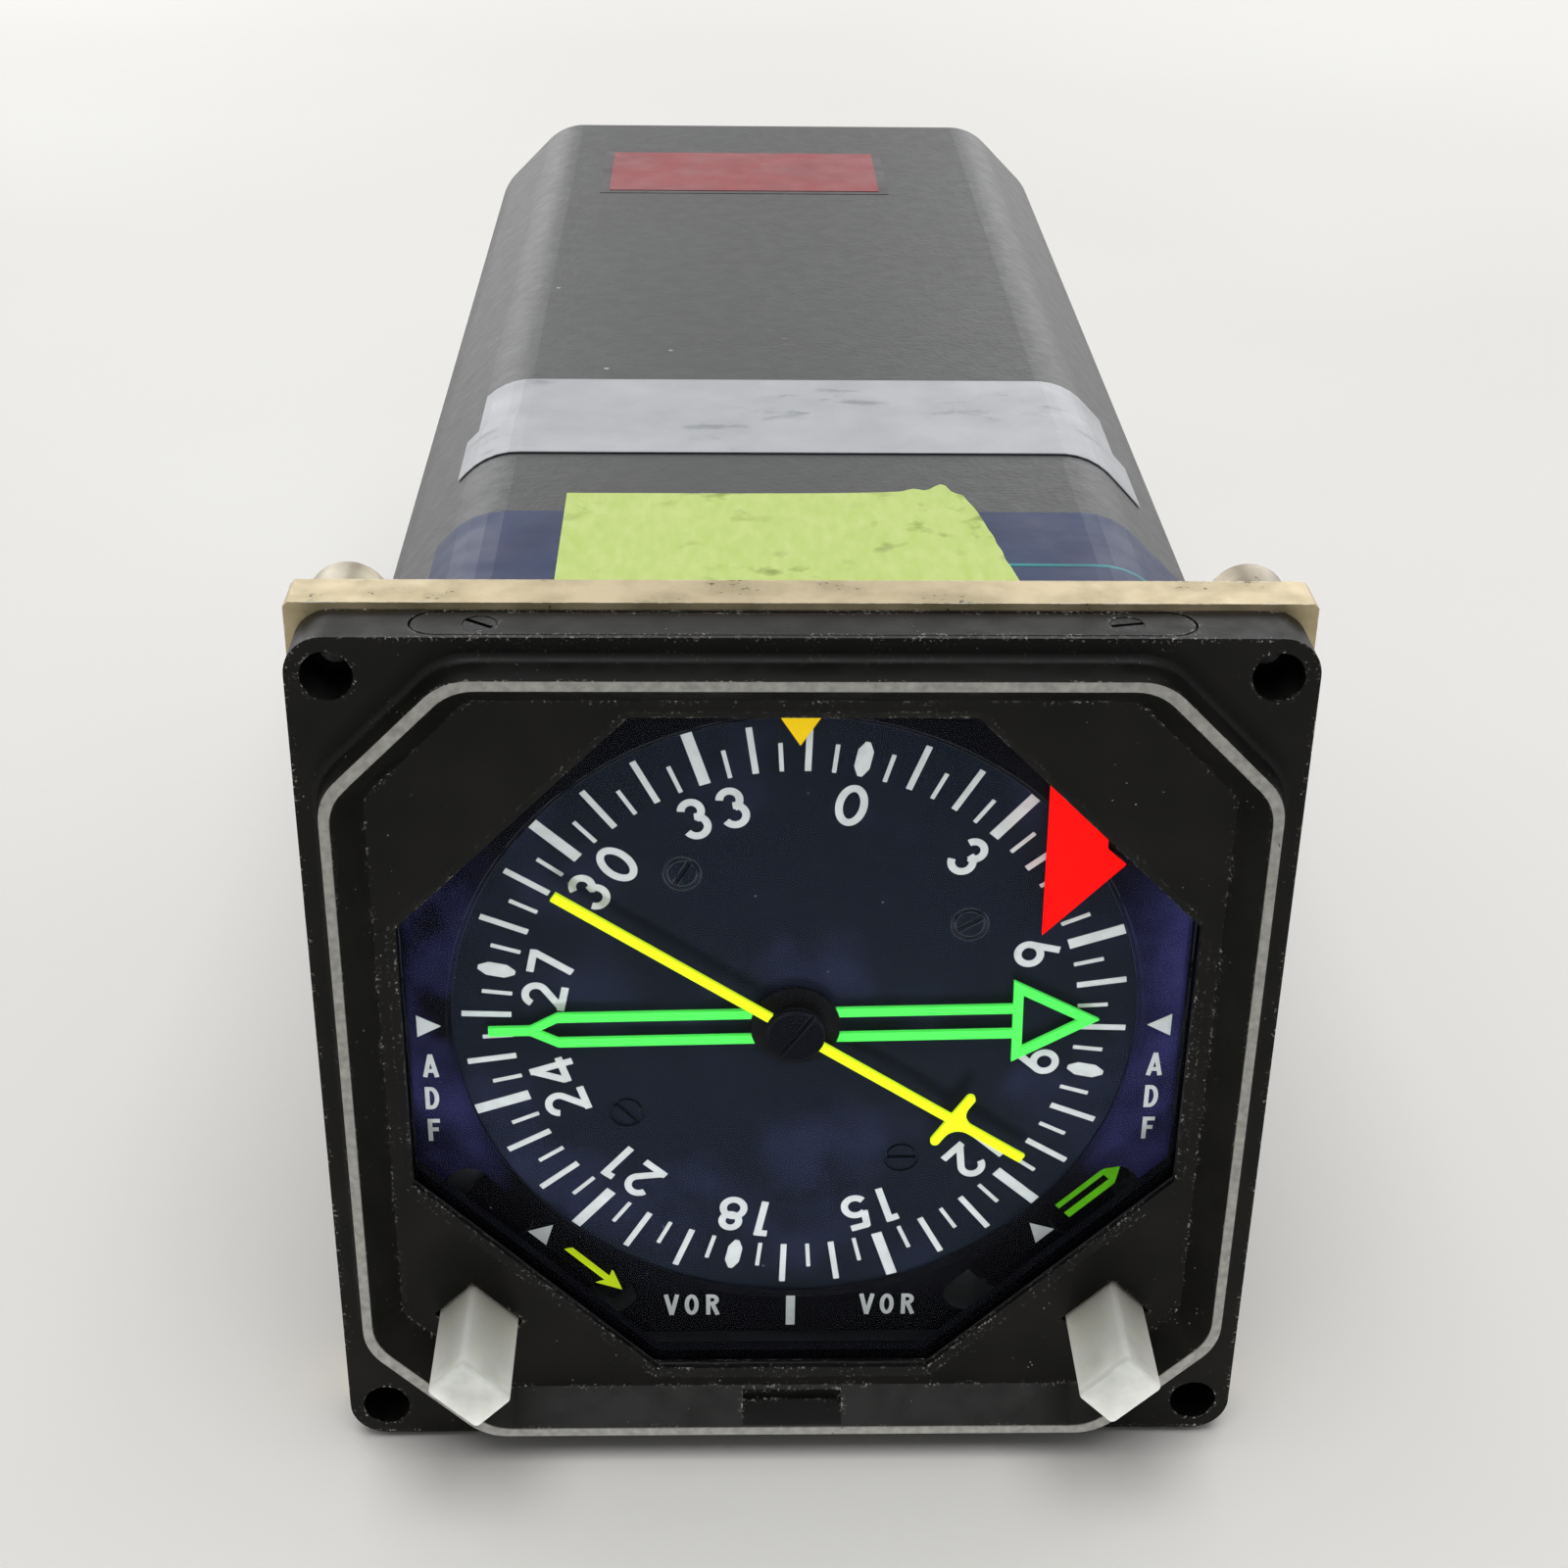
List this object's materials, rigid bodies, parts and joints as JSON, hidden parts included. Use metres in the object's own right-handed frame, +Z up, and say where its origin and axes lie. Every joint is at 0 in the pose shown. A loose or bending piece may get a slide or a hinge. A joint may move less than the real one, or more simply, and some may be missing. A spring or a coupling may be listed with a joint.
{
  "type": "radio magnetic indicator",
  "caption": "Panel instrument with a turning compass card, a double and a single bearing pointer, a warning flag and push buttons in a square bezel with a long case.",
  "frame": {"origin": "on the dial axis, in the front plane of the bezel's four corner flanges", "axes": "+X to the pilot's right, +Z up, +Y back into the panel along the dial axis"},
  "size_m": [0.0842, 0.2095, 0.0842],
  "materials": {
    "black_paint": "satin",
    "gold_plate": "satin",
    "case_paint": "satin",
    "glass": "gloss",
    "card_paint": "satin",
    "mask_paint": "matte",
    "white_paint": "matte",
    "green_paint": "satin",
    "yellow_paint": "satin",
    "red_paint": "satin",
    "button_plastic": "gloss",
    "steel": "satin",
    "brass": "satin",
    "aluminium": "satin",
    "rubber": "matte",
    "lamp_glass": "gloss",
    "board": "satin",
    "connector_metal": "satin",
    "insert_plastic": "matte",
    "contact_gold": "polished"
  },
  "bodies": {
    "housing": {"bezel": "black_paint", "lamp_cover": "case_paint", "lamp_cover_screws": "steel", "dial_lamps": "lamp_glass", "glass_gasket": "rubber", "front_glass": "glass", "glass_retainer": "mask_paint", "mounting_flange": "gold_plate", "anchor_nuts": "steel", "dial_mask": "mask_paint", "lubber_mark": "white_paint", "index_marks": "white_paint", "mask_posts": "aluminium", "front_plate": "aluminium", "card_bush": "brass", "card_motor": "steel", "double_synchro": "steel", "single_synchro": "steel", "flag_movement": "aluminium", "left_button_spring": "steel", "right_button_spring": "steel", "button_switches": "insert_plastic", "source_solenoids": "steel", "middle_plate": "aluminium", "rear_plate": "aluminium", "chassis_posts": "aluminium", "end_plate": "aluminium", "amplifier_board": "board", "power_board": "board", "case_shell": "case_paint", "connector_shell": "connector_metal", "connector_insert": "insert_plastic", "connector_pins": "contact_gold", "connector_screws": "steel"},
    "card": {"compass_card": "card_paint", "card_ticks": "white_paint", "card_screws": "steel", "card_gear": "brass"},
    "card_drive": {"card_pinion": "steel"},
    "double_needle": {"double_pointer": "green_paint", "double_tube": "steel", "double_gear": "brass"},
    "double_drive": {"double_pinion": "steel"},
    "single_needle": {"single_pointer": "yellow_paint", "pointer_cap": "mask_paint", "single_shaft": "steel"},
    "flag": {"warning_flag": "red_paint"},
    "left_key": {"left_button": "button_plastic"},
    "right_key": {"right_button": "button_plastic"},
    "left_source": {"left_source_disc": "mask_paint", "left_source_symbol": "yellow_paint"},
    "right_source": {"right_source_disc": "mask_paint", "right_source_symbol": "green_paint"}
  },
  "joints": [
    {"name": "card_spin", "type": "hinge", "parent": "housing", "child": "card", "pos_m": [0, 0.0084, 0], "axis": [0, 1, 0], "continuous": true},
    {"name": "card_pinion_spin", "type": "hinge", "parent": "housing", "child": "card_drive", "pos_m": [0, 0.0094, 0.028], "axis": [0, 1, 0], "continuous": true},
    {"name": "double_pointer_spin", "type": "hinge", "parent": "housing", "child": "double_needle", "pos_m": [0, 0.0072, 0], "axis": [0, 1, 0], "continuous": true},
    {"name": "double_pinion_spin", "type": "hinge", "parent": "housing", "child": "double_drive", "pos_m": [-0.01697, 0.0245, -0.01697], "axis": [0, 1, 0], "continuous": true},
    {"name": "single_pointer_spin", "type": "hinge", "parent": "housing", "child": "single_needle", "pos_m": [0, 0.0061, 0], "axis": [0, 1, 0], "continuous": true},
    {"name": "flag_swing", "type": "hinge", "parent": "housing", "child": "flag", "pos_m": [0.03, 0.0055, 0.024], "axis": [0, 1, 0], "range_deg": [0, 90]},
    {"name": "left_button_press", "type": "slide", "parent": "housing", "child": "left_key", "axis": [0, 1, 0], "range_m": [0, 0.002], "stiffness_N_per_m": 400, "springref_m": -0.001, "deforming": ["left_button_spring"]},
    {"name": "right_button_press", "type": "slide", "parent": "housing", "child": "right_key", "axis": [0, 1, 0], "range_m": [0, 0.002], "stiffness_N_per_m": 400, "springref_m": -0.001, "deforming": ["right_button_spring"]},
    {"name": "left_source_turn", "type": "hinge", "parent": "housing", "child": "left_source", "pos_m": [-0.0235, 0.0093, -0.0245], "axis": [0, -1, 0], "range_deg": [0, 180]},
    {"name": "right_source_turn", "type": "hinge", "parent": "housing", "child": "right_source", "pos_m": [0.0235, 0.0093, -0.0245], "axis": [0, -1, 0], "range_deg": [0, 180]}
  ],
  "couplings": [
    {"joint": "card_pinion_spin", "follows": "card_spin", "ratio": -4},
    {"joint": "double_pinion_spin", "follows": "double_pointer_spin", "ratio": -3}
  ]
}
